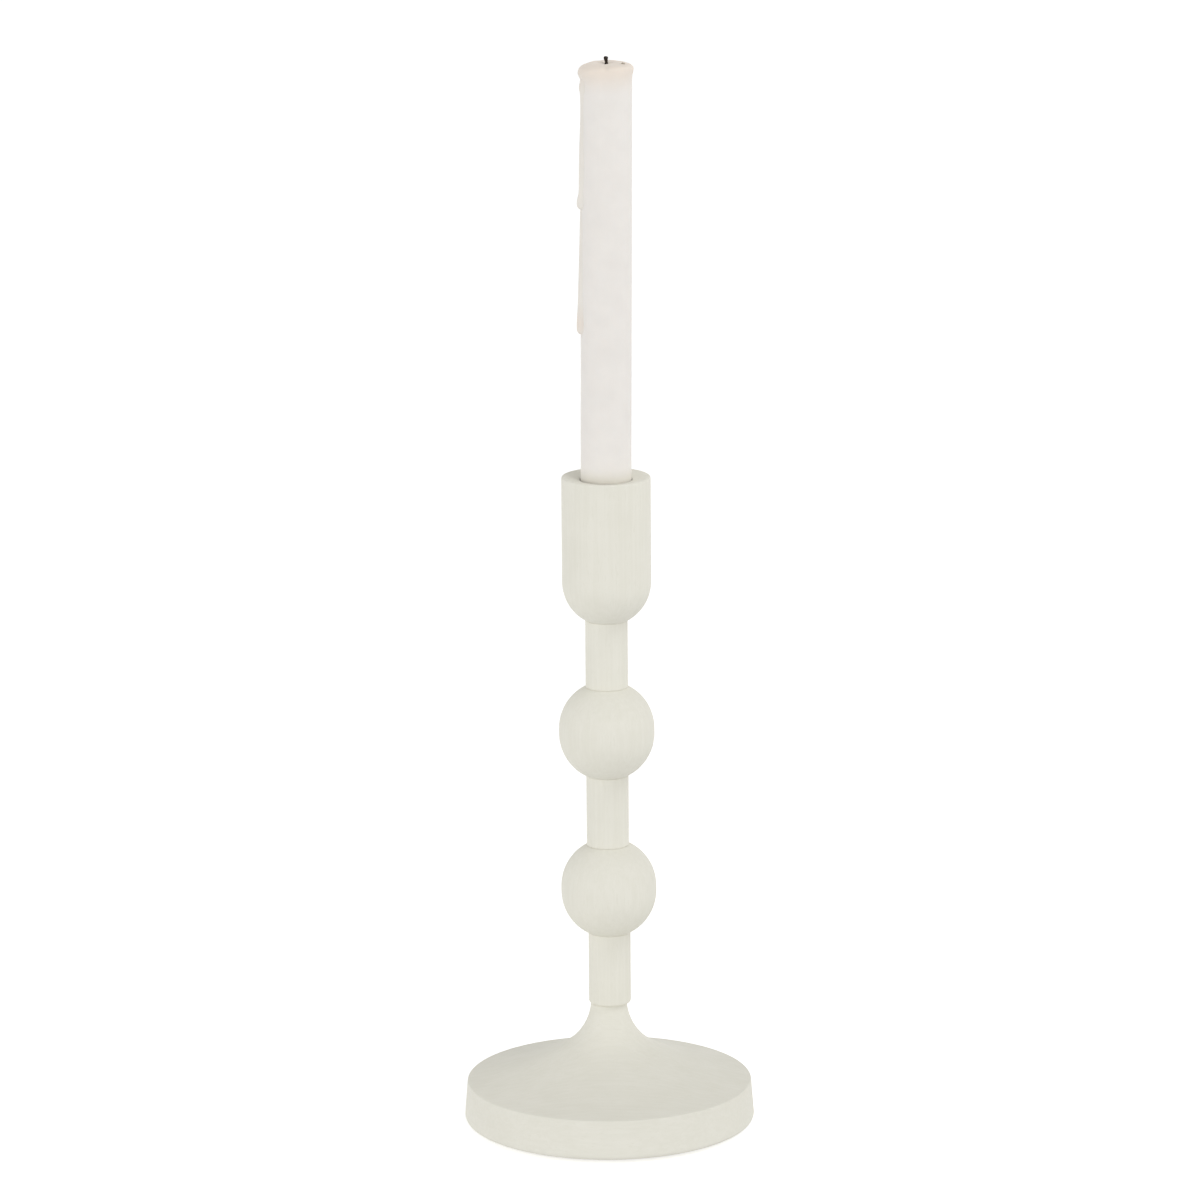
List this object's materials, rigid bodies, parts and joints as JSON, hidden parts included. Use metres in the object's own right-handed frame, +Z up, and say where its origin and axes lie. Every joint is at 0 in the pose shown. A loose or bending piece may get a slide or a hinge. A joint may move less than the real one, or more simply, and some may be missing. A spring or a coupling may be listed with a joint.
{
  "type": "candlestick",
  "caption": "Turned wooden candlestick, painted ivory: round base with a swept neck, spindles with ball beads between them, and a round-bottomed cup holding a straight dinner candle.",
  "frame": {"origin": "centre of the felt's underside, where the candlestick stands on the table", "axes": "+Z up along the stem's axis; +X to the right and +Y to the back as seen from the front, with the wax runs on the -X side"},
  "size_m": [0.1276, 0.1276, 0.473],
  "materials": {
    "painted_wood": "matte ivory paint over close-grained turned wood",
    "wax": "smooth ivory candle wax, slightly see-through at the melted top",
    "wick_cotton": "braided cotton, burnt black",
    "felt": "dense wool felt",
    "zinc_steel": "bright zinc plate",
    "tinned_steel": "drawn tinplate, dulled by heat"
  },
  "bodies": {
    "candlestick": {"felt_disc": "felt", "base": "painted_wood", "lower_spindle": "painted_wood", "lower_bead": "painted_wood", "middle_spindle": "painted_wood", "upper_bead": "painted_wood", "upper_spindle": "painted_wood", "candle_cup": "painted_wood", "candle_liner": "tinned_steel", "tie_rod": "zinc_steel", "bottom_washer": "zinc_steel", "bottom_nut": "zinc_steel", "top_washer": "zinc_steel", "top_nut": "zinc_steel"},
    "candle": {"candle": "wax", "wick": "wick_cotton", "wax_runs": "wax"}
  },
  "joints": [
    {"name": "candle_lift", "type": "slide", "parent": "candlestick", "child": "candle", "axis": [0, 0, 1], "range_m": [0, 0.03]}
  ]
}
